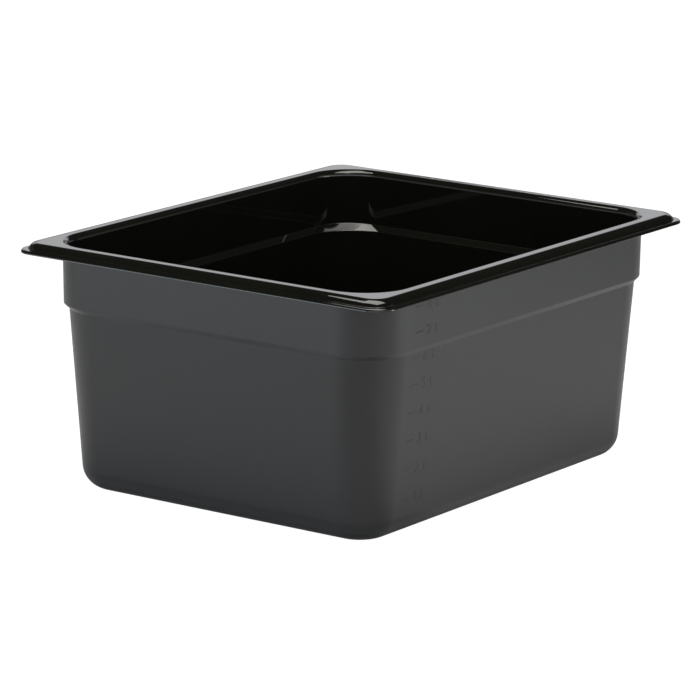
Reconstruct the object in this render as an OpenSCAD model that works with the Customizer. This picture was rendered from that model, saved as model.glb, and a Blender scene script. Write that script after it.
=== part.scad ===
// One-half size food pan, 150 mm deep: a single thin-walled moulding.
// The pan stands on its base at z = 0, centred on the z axis. The long rim
// side runs along y, the short one along x, and the rim's flat top is the
// highest face. An "inset" below is a horizontal distance measured inwards
// from the pan's outermost flange edge.

/* [Overall size] */
// Width over the flange, along x
pan_w = 265; // [200:1:330]
// Length over the flange, along y
pan_l = 325; // [240:1:530]
// Height from the base to the flat top of the rim
pan_h = 150; // [144:1:200]

/* [Rim] */
// Inset of the corner centres of the flange
rim_corner = 12.5; // [11:0.5:14]
// Thickness of the flange at its outer edge, which is fully rounded
flange_t = 3.1; // [2.4:0.1:3.6]
// Height of the flat top above the flange's upper face
rim_rise = 3.1; // [2.6:0.1:3.6]
// Inset of the flat top's outer edge
flat_inset = 7.6; // [7:0.1:8.4]
// Edge radius along the flat top's outer edge
flat_r = 1.2; // [0.8:0.1:1.6]
// Radius that rolls the flat top over into the pan
lip_r = 4; // [3:0.5:5]

/* [Stacking band] */
// Inset of the corner centres of the band and of the opening
band_corner = 42.5; // [40:0.5:44]
// Inset of the band's outer face, just under the rim
band_inset = 12.5; // [12:0.1:13]
// Inset of the band's inner face at the top
mouth_inset = 16; // [15.5:0.1:16.5]
// Depth below the rim at which the band starts to step in, outside
band_drop = 37.2; // [34:0.1:40]
// Depth below the rim of the ledge inside, on which the next pan rests
ledge_drop = 34.2; // [31:0.1:35]
// Height of the sloping step between band and body
step_h = 3.6; // [3:0.1:4.5]
// Sideways taper of the band from its top to its bottom
band_taper = 0.44; // [0.2:0.02:0.6]

/* [Body] */
// Inset of the corner centres of the body
body_corner = 46.5; // [45:0.5:48]
// Inset of the body's outer face at its top
body_top_inset = 14.6; // [14.2:0.1:15]
// Inset of the body's outer face at the foot radius
body_foot_inset = 22; // [21:0.1:23]
// Outer radius between side walls and base
foot_r = 15; // [12:0.5:16]
// Thickness of the side walls
wall_t = 3; // [2.4:0.1:3.4]
// Thickness of the base
base_t = 3; // [2.4:0.1:4]

/* [Litre marks] */
// Number of litre marks, counted from the bottom
marks = 8; // [1:1:8]
// How far the marks stand proud of the wall
mark_h = 0.45; // [0.3:0.05:0.8]
// Width of a mark's stroke
mark_stroke = 0.95; // [0.8:0.05:1.1]
// Distance along y from the body's corner centre to the start of a mark
mark_start = 6; // [4:1:20]

/* [Hidden] */
$fn = 96;
tangent_shift = 0.02;             // lifts rounds, so they cut planes at an angle
overlap = 1;                      // how far shapes run into or past each other

half_w = pan_w / 2;
half_l = pan_l / 2;
flange_top = pan_h - rim_rise;
flange_bot = flange_top - flange_t;
lip_bot = pan_h - lip_r;
step_top = pan_h - band_drop;     // outside, band bottom
step_bot = step_top - step_h + 0.6;
ledge_top = pan_h - ledge_drop;   // inside
ledge_bot = ledge_top - step_h;

// Hollow under the rim
hollow_top = flange_top - 0.1;
hollow_inset = flange_t + 2;      // of its outer edge, at the flange's underside

mouth_taper = 0.4;                // of the band's inner face, top to ledge
well_top = ledge_top - 0.6;       // the food well runs up into the ledge's slope

// Slopes between band and body: the end slabs lie a little beyond the step in
// height and a little inside the faces they join, to cut them at an angle
slab_t = 0.01;
slab_above = 0.5;
slab_below = 0.4;
body_tuck = 0.25;
mouth_tuck = 0.12;
band_tuck = 0.1;
shoulder_tuck = 0.45;             // middle slab of the outer slope
shoulder_drop = 1;

// The body tapers at one angle from its top down to the foot radius
draft = (body_foot_inset - body_top_inset) / (step_bot - foot_r);

// Insets at height z of the body's and band's outer faces and the band's inner face
function body_face(z) = body_foot_inset - draft * (z - foot_r);
function band_face(z) = band_inset + band_taper * (flange_bot - z) / (flange_bot - step_top);
function mouth_face(z) = mouth_inset + mouth_taper * (lip_bot - z) / (lip_bot - ledge_top);

// A solid of rounded-rectangle plan: a half profile, drawn with x measured
// from the corner centre and y as height, is turned round each corner and
// run along each side. The middle between the centres is filled from bottom to top.
module swept(corner, bottom, top) {
    centre = [half_w - corner, half_l - corner];
    for (k = [0 : 3]) {
        across = centre[k % 2];
        along = centre[(k + 1) % 2];
        rotate([0, 0, 90 * k]) translate([across, along, 0]) {
            rotate_extrude(angle = 90) children();
            rotate([90, 0, 0]) linear_extrude(height = 2 * along) children();
        }
    }
    translate([-centre.x, -centre.y, bottom])
        cube([2 * centre.x, 2 * centre.y, top - bottom]);
}

// Thin rounded-rectangle slab, one station of a sloping step
module slab(inset, corner, z) {
    translate([0, 0, z]) linear_extrude(height = slab_t) hull()
        for (x = [-1, 1], y = [-1, 1])
            translate([x * (half_w - corner), y * (half_l - corner)])
                circle(corner - inset, $fn = 96);
}

// ---- Rim: raised flat top, sloping skirt and rounded flange -------------
module rim_profile() {
    edge_r = flange_t / 2;
    edge_x = rim_corner - edge_r;
    round_x = rim_corner - flat_inset;     // centre of the flat top's edge radius
    round_z = pan_h - flat_r + tangent_shift;
    skirt_x = round_x + flat_r * sin(45);  // where the 45 degree skirt starts
    skirt_z = round_z + flat_r * sin(45);
    foot_x = skirt_x + skirt_z - flange_top; // where it lands on the flange
    translate([0, flange_bot]) square([edge_x, flange_t]);
    translate([edge_x, flange_bot + edge_r]) circle(edge_r);
    polygon([[0, flange_bot + overlap], [foot_x, flange_bot + overlap],
             [foot_x, flange_top], [skirt_x, skirt_z], [round_x, round_z],
             [round_x, pan_h], [0, pan_h]]);
    intersection() {
        translate([round_x, round_z]) circle(flat_r);
        translate([0, flange_bot]) square([rim_corner, pan_h - flange_bot]);
    }
}

// Hollow under the rim, open downwards, with a 45 degree outer face
module rim_hollow_profile() {
    edge_x = rim_corner - hollow_inset;
    polygon([[0, flange_bot - overlap], [edge_x + overlap, flange_bot - overlap],
             [edge_x - (hollow_top - flange_bot), hollow_top], [0, hollow_top]]);
}

module rim() {
    difference() {
        swept(rim_corner, flange_bot, pan_h) rim_profile();
        swept(rim_corner, flange_bot - overlap, hollow_top) rim_hollow_profile();
    }
}

// ---- Outside of the stacking band ---------------------------------------
module band_profile() {
    top_x = band_corner - band_face(flange_bot);
    polygon([[0, step_top], [band_corner - band_face(step_top), step_top],
             [top_x, flange_bot], [top_x, pan_h - overlap], [0, pan_h - overlap]]);
}

module outer_step() {
    bottom = step_bot - slab_below;
    hull() {
        slab(band_face(step_top) + band_tuck, band_corner, step_top + slab_above);
        slab(band_face(step_top) + shoulder_tuck, band_corner, step_top - shoulder_drop);
        slab(body_face(bottom) + body_tuck, body_corner, bottom);
    }
}

// ---- Tapered body with its foot radius ----------------------------------
// Wall and floor are the depths inside the outer faces: 0 gives the outside.
// The foot rounds share one centre height.
module body_profile(wall, floor_z, top) {
    radius = foot_r - floor_z;
    foot_x = body_corner - body_face(foot_r) - wall;
    top_x = body_corner - body_face(top) - wall;
    round_x = foot_x - radius + tangent_shift;
    polygon([[0, floor_z], [round_x, floor_z], [round_x, foot_r],
             [foot_x, foot_r], [top_x, top], [0, top]]);
    intersection() {
        translate([round_x, foot_r]) circle(radius);
        translate([round_x - overlap, floor_z]) square([radius + overlap + 0.2, radius]);
    }
}

module outside() {
    rim();
    swept(band_corner, step_top, pan_h - overlap) band_profile();
    outer_step();
    swept(body_corner, 0, step_top) body_profile(wall = 0, floor_z = 0, top = step_top);
}

// ---- Inside: mouth, ledge and food well ---------------------------------
module mouth_profile() {
    mouth_x = band_corner - mouth_inset;
    polygon([[0, ledge_top], [band_corner - mouth_face(ledge_top), ledge_top],
             [mouth_x, lip_bot], [0, lip_bot]]);
    difference() {
        translate([0, lip_bot]) square([mouth_x + lip_r, lip_r + overlap]);
        translate([mouth_x + lip_r, lip_bot + tangent_shift]) circle(lip_r);
    }
}

module inner_step() {
    bottom = ledge_bot - slab_below;
    hull() {
        slab(mouth_face(ledge_top) + mouth_tuck, band_corner, ledge_top + slab_above);
        slab(body_face(bottom) + wall_t + body_tuck, body_corner, bottom);
    }
}

module inside() {
    swept(band_corner, ledge_top, pan_h + overlap) mouth_profile();
    inner_step();
    swept(body_corner, base_t, well_top)
        body_profile(wall = wall_t, floor_z = base_t, top = well_top);
}

// ---- Raised litre marks, on the outer face of the +x wall ---------------
mark_root = 0.6;         // depth of the marks inside the wall
mark_reach = 3.5;        // a mark sits on the band if this far below it clears the step
line_l = 7;              // length of the fill line
numeral_y = 13;          // places along the row, from its start
letter_y = 21.5;
glyph_top = 2.75;        // half the height of a numeral
stroke_half = mark_stroke / 2;
arc_steps = 10;
loop_steps = 24;
min_mitre = 0.35;        // limits how far a mitre reaches out at a sharp bend

// A litre fills less height where the pan is wider, so the marks close up
// towards the top.
function mark_z(litres) = 5.3 + 18.1 * litres - 0.2 * litres * litres;

function ellipse_point(centre, radii, angle) =
    centre + [radii.x * cos(angle), radii.y * sin(angle)];
function arc(centre, radii, start, end) =
    [for (i = [0 : arc_steps])
        ellipse_point(centre, radii, start + (end - start) * i / arc_steps)];

function unit(vector) = vector / norm(vector);
// Direction of the path's segment that ends at point i
function heading(path, i) = unit(path[i] - path[i - 1]);
// Mitred sideways step, to the left of the path, at point i
function mitre(path, i) =
    let (before = heading(path, max(i, 1)),
         after = heading(path, min(i + 1, len(path) - 1)),
         middle = unit(before + after))
    [-middle.y, middle.x] / max(min_mitre, middle * after);

module stroke(path) {
    last = len(path) - 1;
    polygon(concat([for (i = [0 : last]) path[i] + stroke_half * mitre(path, i)],
                   [for (i = [last : -1 : 0]) path[i] - stroke_half * mitre(path, i)]));
}

module ellipse(centre, radii) {
    polygon([for (i = [0 : loop_steps - 1])
        ellipse_point(centre, radii, 360 * i / loop_steps)]);
}

// Closed elliptical stroke
module loop(centre, radii) {
    widen = [stroke_half, stroke_half];
    difference() {
        ellipse(centre, radii + widen);
        ellipse(centre, radii - widen);
    }
}

// Numerals and the unit letter, in strokes centred on the origin
module numeral(digit) {
    top = glyph_top;
    if (digit == 1) stroke([[-1, 1.7], [0.4, top], [0.4, -top]]);
    if (digit == 2)
        stroke(concat(arc([0, 1.15], [1.55, 1.6], 165, -30), [[-1.6, -top], [1.7, -top]]));
    if (digit == 3) {
        stroke(arc([0, 1.4], [1.4, 1.35], 150, -90));
        stroke(arc([0, -1.35], [1.65, 1.4], 90, -150));
    }
    if (digit == 4) {
        stroke([[0.7, -top], [0.7, top]]);
        stroke([[0.7, top], [-1.7, -1.2], [1.8, -1.2]]);
    }
    if (digit == 5) {
        stroke([[1.5, top], [-1.3, top], [-1.4, 0.2]]);
        stroke(arc([-0.1, -0.95], [1.7, 1.8], 140, -145));
    }
    if (digit == 6) {
        loop([0, -1.15], [1.6, 1.6]);
        stroke(arc([0.9, -1.15], [2.5, 3.9], 90, 180));
    }
    if (digit == 7) stroke([[-1.7, top], [1.7, top], [-0.6, -top]]);
    if (digit == 8) {
        loop([0, 1.4], [1.35, 1.35]);
        loop([0, -1.3], [1.65, 1.45]);
    }
}

module unit_letter() {
    stroke([[-1.3, glyph_top], [-1.3, -glyph_top], [1.5, -glyph_top]]);
}

// One row: a short line at the fill height, the number and the letter
module mark_row(litres) {
    z = mark_z(litres);
    on_band = z - mark_reach > step_bot;
    slope = on_band ? band_taper / (flange_bot - step_top) : draft;
    x = half_w - (on_band ? band_face(z) : body_face(z));
    y = body_corner - half_l + mark_start;
    translate([x, y, z]) rotate([0, atan(slope), 0]) translate([-mark_root, 0, 0])
        rotate([90, 0, 90]) linear_extrude(height = mark_root + mark_h) {
            translate([0, -stroke_half]) square([line_l, mark_stroke]);
            translate([numeral_y, 0]) numeral(litres);
            translate([letter_y, 0]) unit_letter();
        }
}

module pan() {
    color([0.16, 0.16, 0.17]) {
        difference() {
            outside();
            inside();
        }
        for (litres = [1 : marks]) mark_row(litres);
    }
}

pan();
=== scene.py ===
"""Deep black plastic food pan, open at the top, with a polished inside and rim,
a grained outside and raised litre marks on the +x wall.

The pan stands upright on its base, and its place and overall size come from the
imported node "pan". Its section and marks are worked out in millimetres from the
middle of the base; scene places, lights and shader distances are in metres.
"""
import math

import bmesh
import bpy
import numpy as np
from mathutils import Matrix, Vector


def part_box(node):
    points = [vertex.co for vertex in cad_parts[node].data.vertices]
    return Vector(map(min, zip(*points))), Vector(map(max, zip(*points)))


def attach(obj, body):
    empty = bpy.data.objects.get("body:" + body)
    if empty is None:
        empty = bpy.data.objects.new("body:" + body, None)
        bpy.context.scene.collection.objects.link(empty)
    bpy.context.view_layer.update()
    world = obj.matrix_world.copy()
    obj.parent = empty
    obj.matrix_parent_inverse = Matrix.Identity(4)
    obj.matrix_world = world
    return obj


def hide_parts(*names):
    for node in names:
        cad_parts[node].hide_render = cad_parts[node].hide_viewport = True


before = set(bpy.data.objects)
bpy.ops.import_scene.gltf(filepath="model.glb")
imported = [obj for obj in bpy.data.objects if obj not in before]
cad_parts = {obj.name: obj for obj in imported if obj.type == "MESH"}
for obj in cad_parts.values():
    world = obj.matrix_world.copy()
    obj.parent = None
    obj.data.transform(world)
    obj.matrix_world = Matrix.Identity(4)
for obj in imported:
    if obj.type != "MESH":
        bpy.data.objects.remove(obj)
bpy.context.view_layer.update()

# ---------------------------------------------------------------------------
# Sizes in millimetres. An inset is measured inwards from the outermost edge of
# the flange. A corner centre is the inset, from both sides, of the centre about
# which a corner is rounded, so its radius is the centre less the inset.
# ---------------------------------------------------------------------------
box_lo, box_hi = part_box("pan")
HALF_X = (box_hi.x - box_lo.x) * 500.0
HALF_Y = (box_hi.y - box_lo.y) * 500.0
MIDDLE_X = (box_hi.x + box_lo.x) * 500.0
MIDDLE_Y = (box_hi.y + box_lo.y) * 500.0
BASE_Z = box_lo.z * 1000.0
HEIGHT = (box_hi.z - box_lo.z) * 1000.0

# corner centres
RIM_CENTRE, SHOULDER_CENTRE, BAND_CENTRE, BODY_CENTRE = 13.0, 16.5, 42.5, 46.5
LEDGE_CENTRE = 50.5                     # the ledge grows wider round the corners

WALL, BASE = 3.0, 3.0                   # thicknesses
FLANGE_BOTTOM = HEIGHT - 5.8
GROOVE_TOP = HEIGHT - 3.2               # the hollow under the rim, inside the flange
STEP_TOP, STEP_BOTTOM = HEIGHT - 37.0, HEIGHT - 40.0      # outside, band to body
LEDGE_TOP, LEDGE_BOTTOM = HEIGHT - 34.2, HEIGHT - 37.9    # inside, on which a pan rests
LIP_RADIUS = 4.0                        # roll from the mouth on to the rim

BODY_FOOT_Z, BODY_FOOT_INSET, BODY_TOP_INSET = 15.0, 22.0, 14.6
BODY_SLOPE = (BODY_FOOT_INSET - BODY_TOP_INSET) / (STEP_BOTTOM - BODY_FOOT_Z)
BAND_TOP, BAND_INSET, BAND_LEAN = HEIGHT - 6.2, 12.5, 0.44
MOUTH_TOP, MOUTH_INSET, MOUTH_LEAN = HEIGHT - LIP_RADIUS, 16.0, 0.4

SHOULDER_RADIUS, SHOULDER_INSET = 6.0, 8.5
SHOULDER_END = 24.0                     # where the arc stops, in degrees above level
SHOULDER_STEPS = 14
CREASE_WIDTH = 0.15

ARC_STEPS, SIDE_STEPS = 20, 20          # per corner and per side of a loop
QUARTER = ARC_STEPS + SIDE_STEPS        # from the middle of one corner to the next
LOOP = 4 * QUARTER
CORNERS = [(1, -1), (1, 1), (-1, 1), (-1, -1)]      # signs of x and y, anticlockwise

GLOSS, MATT, MARKS = 0, 1, 2            # material slots


def body_inset(z):
    return BODY_FOOT_INSET - BODY_SLOPE * (z - BODY_FOOT_Z)


def band_inset(z):
    return BAND_INSET + BAND_LEAN * (BAND_TOP - z) / (BAND_TOP - STEP_TOP)


def mouth_inset(z):
    return MOUTH_INSET + MOUTH_LEAN * (MOUTH_TOP - z) / (MOUTH_TOP - LEDGE_TOP)


# ---------------------------------------------------------------------------
# The section of the wall, from the edge of the floor up the inside, over the
# rim and down the outside to the edge of the base. Each station is a point
# (inset, corner centre, z), its tangent and its material slot. The tangents
# make the surface normals exact.
# ---------------------------------------------------------------------------
stations = []


def add_station(point, tangent, slot):
    """Adds a station, unless it lies on the one before."""
    point = np.array(point, float)
    if not (stations and np.allclose(stations[-1][0], point, atol=1e-6)):
        stations.append((point, np.array(tangent, float), slot))


def add_rounded(slot, rows):
    """Adds a run of straight lines with true arcs at its inner corners.

    rows: inset, corner centre, z, radius, arc steps, extra stations on the run
    to the next row. The first and last rows are the bare ends of the run.
    """
    corners = [np.array(row[:3], float) for row in rows]
    arcs = [(corners[0], corners[0], None)]         # start, end, weight of the corner
    for before, corner, after, row in zip(corners, corners[1:], corners[2:], rows[1:]):
        back = (before - corner) / math.hypot(before[0] - corner[0], before[2] - corner[2])
        ahead = (after - corner) / math.hypot(after[0] - corner[0], after[2] - corner[2])
        angle = math.acos(back[0] * ahead[0] + back[2] * ahead[2])
        reach = row[3] / math.tan(angle / 2)
        arcs.append((corner + back * reach, corner + ahead * reach, math.sin(angle / 2)))
    arcs.append((corners[-1], corners[-1], None))

    last = len(rows) - 1
    for k, (start, end, weight) in enumerate(arcs):
        steps, extra = rows[k][4:]
        if weight is None:
            add_station(start, start - arcs[k - 1][1] if k == last else arcs[k + 1][0] - start,
                        slot)
        else:
            # the arc as a rational quadratic curve: sum of points over sum of weights
            for i in range(steps + 1):
                s = i / steps
                b0, b1, b2 = (1 - s) ** 2, 2 * s * (1 - s) * weight, s * s
                d0, d1, d2 = -2 * (1 - s), 2 * (1 - 2 * s) * weight, 2 * s
                total, total_slope = b0 + b1 + b2, d0 + d1 + d2
                points = b0 * start + b1 * corners[k] + b2 * end
                points_slope = d0 * start + d1 * corners[k] + d2 * end
                tangent = (points_slope * total - points * total_slope) / total ** 2
                add_station(points / total, tangent, slot)
        for i in range(1, extra + 1):
            s = i / (extra + 1)
            following = arcs[k + 1][0]
            add_station(end * (1 - s) + following * s, following - end, slot)


# inside: floor edge, well wall, ledge, mouth, roll of the lip, flat top
add_rounded(GLOSS, [
    (body_inset(BASE) + WALL + 14.0, BODY_CENTRE, BASE, 0, 0, 0),
    (body_inset(BASE) + WALL, BODY_CENTRE, BASE, 12.0, 16, 10),
    (body_inset(LEDGE_BOTTOM) + WALL + 1.2, LEDGE_CENTRE, LEDGE_BOTTOM, 0.9, 6, 1),
    (mouth_inset(LEDGE_TOP), BAND_CENTRE, LEDGE_TOP, 0.9, 6, 6),
    (mouth_inset(HEIGHT), BAND_CENTRE, HEIGHT, LIP_RADIUS * 0.999, 14, 1),
    (11.0, BAND_CENTRE, HEIGHT, 0, 0, 0),
])

# the full, soft shoulder on the outside of the rim
for k in range(SHOULDER_STEPS + 1):
    angle = math.radians(90 + (SHOULDER_END - 90) * k / SHOULDER_STEPS)
    add_station((SHOULDER_INSET - SHOULDER_RADIUS * math.cos(angle), SHOULDER_CENTRE,
                 HEIGHT - SHOULDER_RADIUS * (1 - math.sin(angle))),
                (-math.sin(angle), 0, -math.cos(angle)), GLOSS)

# the crease at its foot
end_angle = math.radians(SHOULDER_END)
CREASE_INSET = SHOULDER_INSET - SHOULDER_RADIUS * math.cos(end_angle)
CREASE_Z = HEIGHT - SHOULDER_RADIUS * (1 - math.sin(end_angle))
FLANGE_TOP = CREASE_Z - CREASE_WIDTH / math.tan(end_angle)
add_rounded(GLOSS, [
    (CREASE_INSET, SHOULDER_CENTRE, CREASE_Z, 0, 0, 0),
    (CREASE_INSET - CREASE_WIDTH, SHOULDER_CENTRE, FLANGE_TOP, 0.3, 5, 0),
    (2.6, SHOULDER_CENTRE, FLANGE_TOP, 0, 0, 0),
])
# the flange
add_rounded(GLOSS, [
    (1.9, RIM_CENTRE, FLANGE_TOP, 0, 0, 0),
    (0.2, RIM_CENTRE, FLANGE_TOP, 1.6, 10, 1),
    (0.0, RIM_CENTRE, FLANGE_BOTTOM, 0.2, 5, 1),
    (3.0, RIM_CENTRE, FLANGE_BOTTOM, 0, 0, 0),
])
# the underside of the flange and the hollow behind it
add_rounded(MATT, [
    (3.0, RIM_CENTRE, FLANGE_BOTTOM, 0, 0, 0),
    (5.1, RIM_CENTRE, FLANGE_BOTTOM, 0.8, 5, 1),
    (8.1, RIM_CENTRE, GROOVE_TOP, 0.8, 5, 0),
    (9.3, RIM_CENTRE, GROOVE_TOP, 0, 0, 0),
])
# outside: band, step, body, round of the foot, edge of the base
add_rounded(MATT, [
    (10.9, BAND_CENTRE, GROOVE_TOP, 0, 0, 0),
    (band_inset(GROOVE_TOP), BAND_CENTRE, GROOVE_TOP, 1.0, 5, 8),
    (band_inset(STEP_TOP), BAND_CENTRE, STEP_TOP, 1.4, 8, 1),
    (body_inset(STEP_BOTTOM), BODY_CENTRE, STEP_BOTTOM, 0.7, 5, 12),
    (body_inset(0.0), BODY_CENTRE, 0.0, 15.0, 22, 0),
    (body_inset(0.0) + 15.6, BODY_CENTRE, 0.0, 0, 0, 0),
])


# ---------------------------------------------------------------------------
# The moulding: one loop of points round the pan for each station
# ---------------------------------------------------------------------------
def unit(vector):
    return vector / np.linalg.norm(vector)


def station_loop(station):
    """Points and unit normals, anticlockwise from the middle of the (+x, -y) corner."""
    (inset, centre, z), (d_inset, d_centre, d_z), _ = station
    radius = centre - inset
    points, normals = [], []

    def arc_points(sign_x, sign_y, start, steps):
        for k in steps:
            angle = math.radians(start + 90.0 * k / ARC_STEPS)
            ca, sa = math.cos(angle), math.sin(angle)
            points.append((sign_x * (HALF_X - centre) + radius * ca,
                           sign_y * (HALF_Y - centre) + radius * sa, z))
            section = np.array([-sign_x * d_centre + (d_centre - d_inset) * ca,
                                -sign_y * d_centre + (d_centre - d_inset) * sa, d_z])
            normals.append(unit(np.cross(section, [-sa, ca, 0.0])))

    for q, (sign_x, sign_y) in enumerate(CORNERS):
        next_x, next_y = CORNERS[(q + 1) % 4]
        start = -90 + 90 * q
        arc_points(sign_x, sign_y, start, range(ARC_STEPS // 2, ARC_STEPS))
        # the straight side, with its points closer together towards the ends
        angle = math.radians(start + 90)
        out = np.array([math.cos(angle), math.sin(angle)])
        p0 = np.array([sign_x * (HALF_X - centre), sign_y * (HALF_Y - centre)]) + radius * out
        p1 = np.array([next_x * (HALF_X - centre), next_y * (HALF_Y - centre)]) + radius * out
        run = unit(p1 - p0)
        section = np.array([out[0] * -d_inset, out[1] * -d_inset, d_z])
        normal = unit(np.cross(section, [run[0], run[1], 0.0]))
        for k in range(SIDE_STEPS):
            s = 0.5 - 0.5 * math.cos(math.pi * (k / SIDE_STEPS))
            x, y = p0 * (1 - s) + p1 * s
            points.append((x, y, z))
            normals.append(normal)
        arc_points(next_x, next_y, start + 90, range(ARC_STEPS // 2))
    return np.array(points), np.array(normals)


verts, normals, faces, slots = [], [], [], []
for station in stations:
    loop_points, loop_normals = station_loop(station)
    verts.extend(loop_points)
    normals.extend(loop_normals)
for i in range(len(stations) - 1):
    for j in range(LOOP):
        a, b = i * LOOP + j, i * LOOP + (j + 1) % LOOP
        faces.append((a, a + LOOP, b + LOOP, b))
        # matt as soon as either edge of the strip is matt
        slots.append(max(stations[i][2], stations[i + 1][2]))


def fill_flat(first, up):
    """Fills the flat inside of the loop that starts at vertex first with a grid of quads."""
    n = QUARTER
    grid = [[None] * (n + 1) for _ in range(n + 1)]     # grid[u][v], u along x, v along y
    for k in range(n + 1):
        grid[n][k] = first + k                          # up the +x side
        grid[n - k][n] = first + n + k                  # along +y towards -x
        grid[0][n - k] = first + 2 * n + k              # down the -x side
        grid[k][0] = first + (3 * n + k) % LOOP         # along -y back to +x

    def at(u, v):
        return verts[grid[u][v]][:2]

    z = verts[first][2]
    for u in range(1, n):
        for v in range(1, n):
            s, t = u / n, v / n
            x, y = ((1 - s) * at(0, v) + s * at(n, v) + (1 - t) * at(u, 0) + t * at(u, n)
                    - (1 - s) * (1 - t) * at(0, 0) - s * (1 - t) * at(n, 0)
                    - (1 - s) * t * at(0, n) - s * t * at(n, n))
            grid[u][v] = len(verts)
            verts.append(np.array((x, y, z)))
            normals.append(np.array((0, 0, 1.0 if up else -1.0)))
    for u in range(n):
        for v in range(n):
            quad = (grid[u][v], grid[u + 1][v], grid[u + 1][v + 1], grid[u][v + 1])
            faces.append(quad if up else quad[::-1])
            slots.append(GLOSS if up else MATT)


fill_flat(0, up=True)
fill_flat((len(stations) - 1) * LOOP, up=False)
verts = np.array(verts) + (MIDDLE_X, MIDDLE_Y, BASE_Z)


def new_mesh(name, points_mm, mesh_faces):
    mesh = bpy.data.meshes.new(name)
    mesh.from_pydata([tuple(p) for p in np.asarray(points_mm) / 1000.0], [], mesh_faces)
    mesh.update()
    ob = bpy.data.objects.new(name, mesh)
    bpy.context.scene.collection.objects.link(ob)
    return ob


def empty_slots(ob, face_slots):
    """Gives an object its three slots, still empty, and each face its slot."""
    for _ in range(3):
        ob.data.materials.append(None)
    ob.data.polygons.foreach_set("material_index", np.array(face_slots, np.int32))


pan = new_mesh("pan_moulding", verts, faces)
empty_slots(pan, slots)

# ---------------------------------------------------------------------------
# Raised litre marks on the +x wall: strokes swept from centre lines, with a
# small chamfer round their tops, joined to the wall.
# ---------------------------------------------------------------------------
STROKE = 1.1
PROUD_BAND, PROUD_BODY = 0.13, 0.08     # fainter below the step
SECOND_LINE_DROP = 0.012
SUNK = 0.5                              # depth of the foot of a stroke inside the wall
CHAMFER_FOOT = 0.02                     # height of the upright side below the chamfer
MARK_START = 6.0                        # from the -y corner centre of the body
NUMERAL_AT, UNIT_AT = 13.0, 21.5        # along +y from the start of the mark
CLOSED = "closed"                       # ends a centre line that joins up with its start


def arc(cx, cy, rx, ry, a0, a1, n=14):
    """Points along part of an ellipse, from angle a0 to a1 in degrees."""
    return [(cx + rx * math.cos(math.radians(a0 + (a1 - a0) * i / n)),
             cy + ry * math.sin(math.radians(a0 + (a1 - a0) * i / n))) for i in range(n + 1)]


def oval(cx, cy, rx, ry):
    return arc(cx, cy, rx, ry, 0, 360, 24)[:-1] + [CLOSED]


T = 2.75                                # half the height of a character
NUMERALS = {                            # centre lines, x along the wall and y up it
    1: [[(-1, 1.7), (0.4, T), (0.4, -T)]],
    2: [arc(0, 1.15, 1.55, 1.6, 165, -30) + [(-1.6, -T), (1.7, -T)]],
    3: [arc(0, 1.4, 1.4, 1.35, 150, -90), arc(0, -1.35, 1.65, 1.4, 90, -150)],
    4: [[(0.7, -T), (0.7, T)], [(0.7, T), (-1.7, -1.2), (1.8, -1.2)]],
    5: [[(1.5, T), (-1.3, T), (-1.4, 0.2)], arc(-0.1, -0.95, 1.7, 1.8, 140, -145)],
    6: [oval(0, -1.15, 1.6, 1.6), arc(0.9, -1.15, 2.5, 3.9, 90, 180)],
    7: [[(-1.7, T), (1.7, T), (-0.6, -T)]],
    8: [oval(0, 1.4, 1.35, 1.35), oval(0, -1.3, 1.65, 1.45)],
}
TICK = [(0, 0), (7, 0)]
LETTER_L = [(-1.3, T), (-1.3, -T), (1.5, -T)]


def stroke_solid(line, origin, along, up_wall, out, proud):
    """A closed solid along a centre line, with its foot sunk in the wall."""
    closed = line[-1] == CLOSED
    points = np.array([p for p in line if p != CLOSED], float)
    n = len(points)
    arriving = points - np.roll(points, 1, axis=0)
    leaving = np.roll(arriving, -1, axis=0)
    if not closed:
        arriving[0] = leaving[0]
        leaving[-1] = arriving[-1]
    arriving /= np.linalg.norm(arriving, axis=1)[:, None]
    leaving /= np.linalg.norm(leaving, axis=1)[:, None]
    mean = arriving + leaving
    mean /= np.linalg.norm(mean, axis=1)[:, None]
    # mitred sideways vectors, held back at sharp turns
    mitre = np.maximum(0.35, (mean * leaving).sum(1))[:, None]
    side = np.stack([-mean[:, 1], mean[:, 0]], 1) / mitre
    half, chamfer = STROKE / 2, proud - CHAMFER_FOOT
    profile = [(-half, -SUNK), (-half, proud - chamfer), (-half + chamfer, proud),
               (half - chamfer, proud), (half, proud - chamfer), (half, -SUNK)]
    solid_verts, solid_faces = [], []
    for k in range(n):
        for offset, height in profile:
            x, y = points[k] + side[k] * offset
            solid_verts.append(origin + along * x + up_wall * y + out * height)
    size = len(profile)
    for k in range(n if closed else n - 1):
        a, b = k * size, ((k + 1) % n) * size
        for s in range(size):
            s2 = (s + 1) % size
            solid_faces.append((a + s, a + s2, b + s2, b + s))
    if not closed:
        solid_faces.append(tuple(range(size))[::-1])
        solid_faces.append(tuple((n - 1) * size + s for s in range(size)))
    return solid_verts, solid_faces


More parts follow.
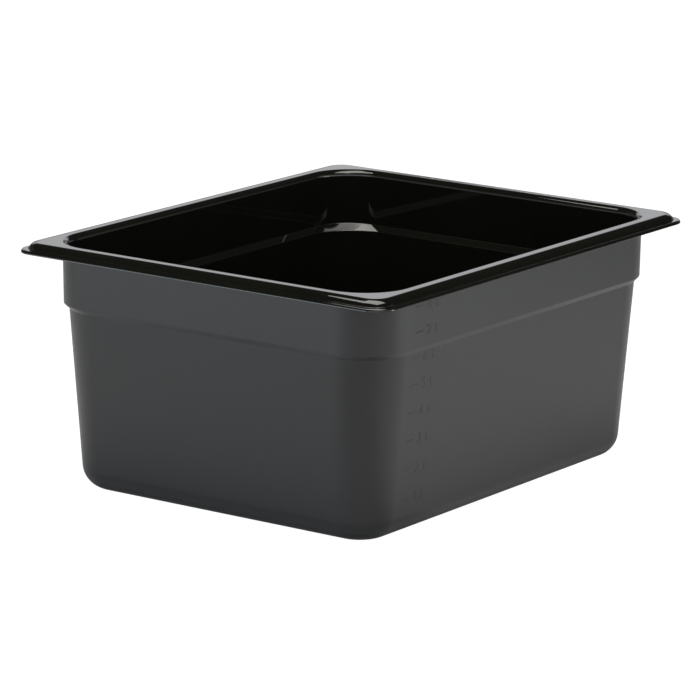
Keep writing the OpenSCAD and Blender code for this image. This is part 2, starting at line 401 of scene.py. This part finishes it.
def mark_layers():
    """Vertices and faces of all the marks, in two layers.

    Lines of one numeral that overlap go in different layers, joined one after
    the other and a hair lower, so that no two faces are left lying on each other.
    """
    layers = [([], []), ([], [])]
    along = np.array([0.0, 1.0, 0.0])
    for litre, numeral in NUMERALS.items():
        z = 5.3 + 18.1 * litre - 0.2 * litre * litre    # the well widens upwards
        if z - 3.5 > STEP_BOTTOM:
            tilt, inset, proud = math.atan(BAND_LEAN / (BAND_TOP - STEP_TOP)), band_inset(z), PROUD_BAND
        else:
            tilt, inset, proud = math.atan(BODY_SLOPE), body_inset(z), PROUD_BODY
        origin = np.array([HALF_X - inset + MIDDLE_X,
                           -(HALF_Y - BODY_CENTRE) + MARK_START + MIDDLE_Y, z + BASE_Z])
        out = np.array([math.cos(tilt), 0, -math.sin(tilt)])
        up_wall = np.array([math.sin(tilt), 0, math.cos(tilt)])
        lines = [(TICK, 0.0, 0)]
        lines += [(line, NUMERAL_AT, k) for k, line in enumerate(numeral)]
        lines += [(LETTER_L, UNIT_AT, 0)]
        for line, at, k in lines:
            solid_verts, solid_faces = stroke_solid(
                line, origin + along * at, along, up_wall, out, proud - SECOND_LINE_DROP * k)
            layer_verts, layer_faces = layers[k]
            first = len(layer_verts)
            layer_faces += [tuple(i + first for i in face) for face in solid_faces]
            layer_verts += solid_verts
    return layers


def join_marks(mark_verts, mark_faces):
    marks = new_mesh("litre_marks_cutter", mark_verts, mark_faces)
    bm = bmesh.new()
    bm.from_mesh(marks.data)
    bmesh.ops.recalc_face_normals(bm, faces=bm.faces)
    bm.to_mesh(marks.data)
    bm.free()
    empty_slots(marks, [MARKS] * len(marks.data.polygons))
    union = pan.modifiers.new("marks", "BOOLEAN")
    union.operation, union.object, union.solver = "UNION", marks, "MANIFOLD"
    depsgraph = bpy.context.evaluated_depsgraph_get()
    joined = bpy.data.meshes.new_from_object(pan.evaluated_get(depsgraph), depsgraph=depsgraph)
    pan.modifiers.clear()
    old = pan.data
    pan.data = joined
    joined.name = "pan_moulding"
    bpy.data.meshes.remove(old)
    bpy.data.objects.remove(marks)


for layer in mark_layers():
    join_marks(*layer)


def set_exact_normals(mesh):
    """A vertex of the section takes its station's normal; the marks stay crisp."""
    known = {tuple(np.round(v / 1000.0, 6)): n for v, n in zip(verts, normals)}
    places = np.zeros(len(mesh.vertices) * 3)
    mesh.vertices.foreach_get("co", places)
    exact = [known.get(tuple(np.round(p, 6))) for p in places.reshape(-1, 3)]
    mesh.polygons.foreach_set("use_smooth", np.ones(len(mesh.polygons), bool))
    corner_normals = np.zeros((len(mesh.loops), 3))
    for poly in mesh.polygons:
        flat = np.array(poly.normal)
        for i in poly.loop_indices:
            n = exact[mesh.loops[i].vertex_index]
            corner_normals[i] = n if n is not None and n @ flat > 0.8 else flat
    mesh.normals_split_custom_set(corner_normals.tolist())


set_exact_normals(pan.data)


# ---------------------------------------------------------------------------
# Shader helpers. Each adds a node and returns one of its output sockets.
# ---------------------------------------------------------------------------
def add(tree, kind, inputs=None, out=0, **settings):
    """inputs: by name or number, either a value or the socket to link from."""
    node = tree.nodes.new("ShaderNode" + kind)
    for name, value in settings.items():
        setattr(node, name, value)
    for key, value in (inputs or {}).items():
        if isinstance(value, bpy.types.NodeSocket):
            tree.links.new(value, node.inputs[key])
        else:
            node.inputs[key].default_value = value
    return node.outputs[out] if node.outputs else None


def map_range(tree, value, source, target, kind="SMOOTHSTEP"):
    return add(tree, "MapRange", {0: value, 1: source[0], 2: source[1], 3: target[0],
                                  4: target[1]}, interpolation_type=kind)


def multiply(tree, a, b):
    return add(tree, "Math", {0: a, 1: b}, operation="MULTIPLY")


def mix_colour(tree, factor, a, b, blend="MIX"):
    return add(tree, "Mix", {"Factor": factor, 6: a, 7: b}, out=2,
               data_type="RGBA", blend_type=blend)


def noise(tree, coords, scale, detail, roughness):
    return add(tree, "TexNoise", {"Vector": coords, "Scale": scale, "Detail": detail,
                                  "Roughness": roughness})


def two_tone(tree, factor, low, high):
    colour = add(tree, "ValToRGB", {"Fac": factor})
    elements = colour.node.color_ramp.elements
    elements[0].color, elements[1].color = low, high
    return colour


def bump(tree, height, strength, distance):
    return add(tree, "Bump", {"Height": height, "Strength": strength, "Distance": distance})


def toward(tree, unit_vector, direction, cosines):
    """1 toward a direction, 0 away from it, falling off between two cosines."""
    dot = add(tree, "VectorMath", {0: unit_vector, 1: direction}, out="Value",
              operation="DOT_PRODUCT")
    return map_range(tree, dot, cosines, (0.0, 1.0))


def level_direction(azimuth):
    return (math.cos(math.radians(azimuth)), math.sin(math.radians(azimuth)), 0)


def new_material(name):
    material = bpy.data.materials.new(name)
    material.use_nodes = True
    material.node_tree.nodes.clear()
    return material, material.node_tree


# ---------------------------------------------------------------------------
# Materials of the pan
# ---------------------------------------------------------------------------
PLASTIC_IOR = 1.585


def gloss_plastic():
    material, tree = new_material("black_polycarbonate_polished")
    coords = add(tree, "TexCoord", out="Object")
    # very slow variation of tone and of polish, as on a moulded face
    slow = noise(tree, coords, scale=22.0, detail=3.0, roughness=0.55)
    colour = two_tone(tree, slow, low=(0.0042, 0.0042, 0.0032, 1),
                      high=(0.0068, 0.0068, 0.0050, 1))
    polish = map_range(tree, slow, (0.35, 0.7), (0.022, 0.048), kind="LINEAR")
    # faint orange peel of the moulded surface
    peel = noise(tree, coords, scale=260.0, detail=2.0, roughness=0.5)
    surface = add(tree, "BsdfPrincipled", {
        "IOR": PLASTIC_IOR, "Base Color": colour, "Roughness": polish,
        "Normal": bump(tree, peel, strength=0.05, distance=0.0002)})
    add(tree, "OutputMaterial", {"Surface": surface})
    return material


def matt_plastic(name, specular):
    material, tree = new_material(name)
    coords = add(tree, "TexCoord", out="Object")
    slow = noise(tree, coords, scale=14.0, detail=4.0, roughness=0.6)
    colour = two_tone(tree, slow, low=(0.0060, 0.0062, 0.0066, 1),
                      high=(0.0085, 0.0088, 0.0094, 1))
    # painted light: the band under the rim is made a touch lighter than the body below the step
    z = add(tree, "SeparateXYZ", {0: coords}, out="Z")
    band_painted_light = map_range(tree, z, (0.1085, 0.1135), (0.0, 1.0))
    colour = mix_colour(tree, band_painted_light, colour, (0.0035, 0.0036, 0.0038, 1), blend="ADD")
    # painted highlight: the edge of the step is made a little paler, most of all on the +x side
    above = map_range(tree, z, (0.1094, 0.1106), (0.0, 1.0))
    under = map_range(tree, z, (0.1124, 0.1136), (1.0, 0.0))
    edge = multiply(tree, above, under)
    side = map_range(tree, z.node.outputs["X"], (0.02, 0.115), (0.3, 1.0))
    step_painted_highlight = multiply(tree, edge, side)
    colour = mix_colour(tree, step_painted_highlight, colour, (0.016, 0.016, 0.0165, 1), blend="ADD")
    # uneven sheen and a fine spark-eroded grain
    sheen = noise(tree, coords, scale=900.0, detail=2.0, roughness=0.6)
    grain = noise(tree, coords, scale=2600.0, detail=3.0, roughness=0.6)
    surface = add(tree, "BsdfPrincipled", {
        "IOR": PLASTIC_IOR, "Specular IOR Level": specular, "Base Color": colour,
        "Roughness": map_range(tree, sheen, (0.3, 0.7), (0.32, 0.40), kind="LINEAR"),
        "Normal": bump(tree, grain, strength=0.25, distance=0.0001)})
    add(tree, "OutputMaterial", {"Surface": surface})
    return material


pan.data.materials[GLOSS] = gloss_plastic()
pan.data.materials[MATT] = matt_plastic("black_polycarbonate_matt_grain", specular=0.5)
pan.data.materials[MARKS] = matt_plastic("black_polycarbonate_raised_marks", specular=0.43)
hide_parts("pan")
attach(pan, "root")

# ---------------------------------------------------------------------------
# Floor
# ---------------------------------------------------------------------------
# where the camera stands: azimuth from -y towards +x, elevation, and its roll
CAMERA_AZIMUTH = math.radians(35.358)
CAMERA_ELEVATION = math.radians(13.354)
CAMERA_ROLL = math.radians(0.647)

FLOOR_HALF = 6000                       # mm
FLOOR_GAP = 0.0002                      # below the pan
TABLE_RADIUS, TABLE_FADE = 1.6, 0.12
TABLE_GLOW = 0.1


def floor_material():
    """The camera sees paper lifted almost to white, as with a lit sweep; reflections
    see a well lit table round the pan and a dark studio beyond its edge."""
    material, tree = new_material("pale_floor")
    coords = add(tree, "TexCoord", out="Object")
    distance = add(tree, "VectorMath", {0: coords}, out="Value", operation="LENGTH")
    direction = add(tree, "VectorMath", {0: coords}, operation="NORMALIZE")
    table = map_range(tree, distance, (TABLE_RADIUS, TABLE_RADIUS + TABLE_FADE), (1.0, 0.0))
    colour = mix_colour(tree, table, (0.04, 0.04, 0.04, 1), (0.865, 0.862, 0.88, 1))

    def shade(under, facing, cosines, distances, far_share, tint):
        """Tints a sector of the table, less strongly beyond the given distances."""
        sector = toward(tree, direction, facing, cosines)
        near = map_range(tree, distance, distances, (1.0, far_share))
        return mix_colour(tree, multiply(tree, sector, near), under, tint)

    # the strip of table between the pan and the camera is in the camera's own shade
    colour = shade(colour, (math.sin(CAMERA_AZIMUTH), -math.cos(CAMERA_AZIMUTH), 0),
                   cosines=(0.86, 0.98), distances=(0.45, 0.8), far_share=0.35,
                   tint=(0.56, 0.56, 0.58, 1))
    # a bluer shade close to the -y side of the pan
    colour = shade(colour, level_direction(262), cosines=(0.60, 0.92),
                   distances=(0.17, 0.36), far_share=0.18, tint=(0.58, 0.60, 0.655, 1))
    reflected = add(tree, "BsdfPrincipled", {
        "Base Color": colour, "Roughness": 0.9, "Specular IOR Level": 0.1,
        "Emission Color": (0.96, 0.98, 1.0, 1),
        "Emission Strength": multiply(tree, table, TABLE_GLOW)})

    glow = add(tree, "Emission", {"Color": (1, 1, 1, 1), "Strength": 1.25})
    paper = add(tree, "BsdfDiffuse", {"Color": (0.86, 0.86, 0.86, 1)})
    seen = add(tree, "MixShader", {0: 0.8, 1: paper, 2: glow})
    camera_ray = add(tree, "LightPath", out="Is Camera Ray")
    surface = add(tree, "MixShader", {0: camera_ray, 1: reflected, 2: seen})
    add(tree, "OutputMaterial", {"Surface": surface})
    return material


floor = new_mesh("floor", [(x * FLOOR_HALF, y * FLOOR_HALF, 0)
                           for x, y in ((-1, -1), (1, -1), (1, 1), (-1, 1))], [(0, 1, 2, 3)])
floor.location.z = box_lo.z - FLOOR_GAP
floor.data.materials.append(floor_material())

# ---------------------------------------------------------------------------
# Lights
# ---------------------------------------------------------------------------
WARM_WHITE = (1.0, 0.985, 0.94)


def area(name, place, size_x, size_y, radiance, colour):
    light = bpy.data.lights.new(name, "AREA")
    light.shape, light.size, light.size_y, light.color = "RECTANGLE", size_x, size_y, colour
    light.energy = radiance * math.pi * size_x * size_y
    ob = bpy.data.objects.new(name, light)
    bpy.context.scene.collection.objects.link(ob)
    ob.location = place
    ob.rotation_mode = "QUATERNION"
    return ob


def panel(name, x, y, z, radiance):
    """A softbox hanging level over the ranges x and y, lit downwards."""
    area(name, ((x[0] + x[1]) / 2, (y[0] + y[1]) / 2, z), x[1] - x[0], y[1] - y[0],
         radiance, WARM_WHITE)


def card(name, x, y, z, width, radiance, colour):
    """An upright card over the range z, facing the pan; not seen by the camera."""
    place = Vector((x, y, (z[0] + z[1]) / 2))
    ob = area(name, place, width, z[1] - z[0], radiance, colour)
    ob.rotation_quaternion = Vector((-x, -y, 0)).to_track_quat("-Z", "Y")
    ob.visible_camera = False


panel("overhead_softbox", x=(-0.45, 0.75), y=(-0.62, 0.28), z=1.35, radiance=4.2)
panel("overhead_softbox_left", x=(-0.74, -0.45), y=(-0.62, -0.08), z=1.35, radiance=4.2)
panel("overhead_softbox_rim", x=(-0.50, 0.82), y=(-0.66, 0.36), z=1.352, radiance=0.6)
card("strip_left", x=-0.54, y=-0.92, z=(0.035, 0.130), width=0.95, radiance=3.9,
     colour=(0.80, 0.91, 1.0))
card("strip_right", x=0.85, y=0.43, z=(0.02, 0.30), width=0.30, radiance=3.7,
     colour=(0.92, 0.96, 1.0))

# ---------------------------------------------------------------------------
# The room: a white backdrop behind the pan, dim walls low down, dark above.
# Later rows lie over earlier ones.
# ---------------------------------------------------------------------------
ROOM_DARK = (0.028, 0.028, 0.027, 1)
ROOM = [
    # azimuth from +x, cosines of the falloff, elevations of the falloff, colour
    (230.0, (0.2, 0.8), (14, 40), (0.17, 0.17, 0.17, 1)),           # front left
    (235.0, (0.6, 0.9), (15, 17), (0.36, 0.38, 0.41, 1)),           # pale card, front left
    (325.0, (-0.1, 0.6), (14, 32), (1.32, 1.34, 1.38, 1)),          # near side of the room
    (125.4, (0.89, 0.95), (19.5, 25), (1.06, 1.07, 1.09, 1)),       # backdrop
    (122.6, (0.9990, 0.9994), (11.0, 11.4), (0.20, 0.20, 0.20, 1)),  # narrow dark upright
    (125.4, (0.5, 0.6), (9.8, 10.5), (0.20, 0.20, 0.20, 1)),        # dark foot of the backdrop
]


def build_room():
    world = bpy.data.worlds.new("studio")
    bpy.context.scene.world = world
    world.use_nodes = True
    tree = world.node_tree
    tree.nodes.clear()
    coords = add(tree, "TexCoord", out="Generated")
    z = add(tree, "SeparateXYZ", {0: coords}, out="Z")
    colour = add(tree, "RGB")
    colour.default_value = ROOM_DARK
    for azimuth, cosines, elevations, tint in ROOM:
        flat = add(tree, "VectorMath", {0: coords, 1: (1, 1, 0)}, operation="MULTIPLY")
        direction = add(tree, "VectorMath", {0: flat}, operation="NORMALIZE")
        sector = toward(tree, direction, level_direction(azimuth), cosines)
        sines = [math.sin(math.radians(elevation)) for elevation in elevations]
        low = map_range(tree, z, sines, (1.0, 0.0))
        colour = mix_colour(tree, multiply(tree, sector, low), colour, tint)
    background = add(tree, "Background", {"Color": colour, "Strength": 1.0})
    add(tree, "OutputWorld", {"Surface": background})


build_room()

# ---------------------------------------------------------------------------
# Camera, aimed at the middle of the pan
# ---------------------------------------------------------------------------
CAMERA_DISTANCE = 2.6715


def add_camera():
    data = bpy.data.cameras.new("camera")
    camera = bpy.data.objects.new("camera", data)
    bpy.context.scene.collection.objects.link(camera)
    sin_az, cos_az = math.sin(CAMERA_AZIMUTH), math.cos(CAMERA_AZIMUTH)
    cos_el = math.cos(CAMERA_ELEVATION)
    back = Vector((sin_az * cos_el, -cos_az * cos_el, math.sin(CAMERA_ELEVATION)))
    level_right = Vector((cos_az, sin_az, 0))
    level_up = back.cross(level_right)
    sin_roll, cos_roll = math.sin(CAMERA_ROLL), math.cos(CAMERA_ROLL)
    right = level_right * cos_roll + level_up * sin_roll
    up = -level_right * sin_roll + level_up * cos_roll
    target = Vector((MIDDLE_X / 1000, MIDDLE_Y / 1000, (BASE_Z + HEIGHT / 2) / 1000))
    turn = Matrix((right, up, back)).transposed().to_4x4()
    camera.matrix_world = Matrix.Translation(target + back * CAMERA_DISTANCE) @ turn
    data.sensor_width = 36.0
    data.lens = 228.456
    data.shift_x, data.shift_y = -0.00822857, -0.0013
    data.clip_start, data.clip_end = 0.05, 50
    bpy.context.scene.camera = camera


add_camera()
bpy.context.scene.view_settings.view_transform = "Standard"
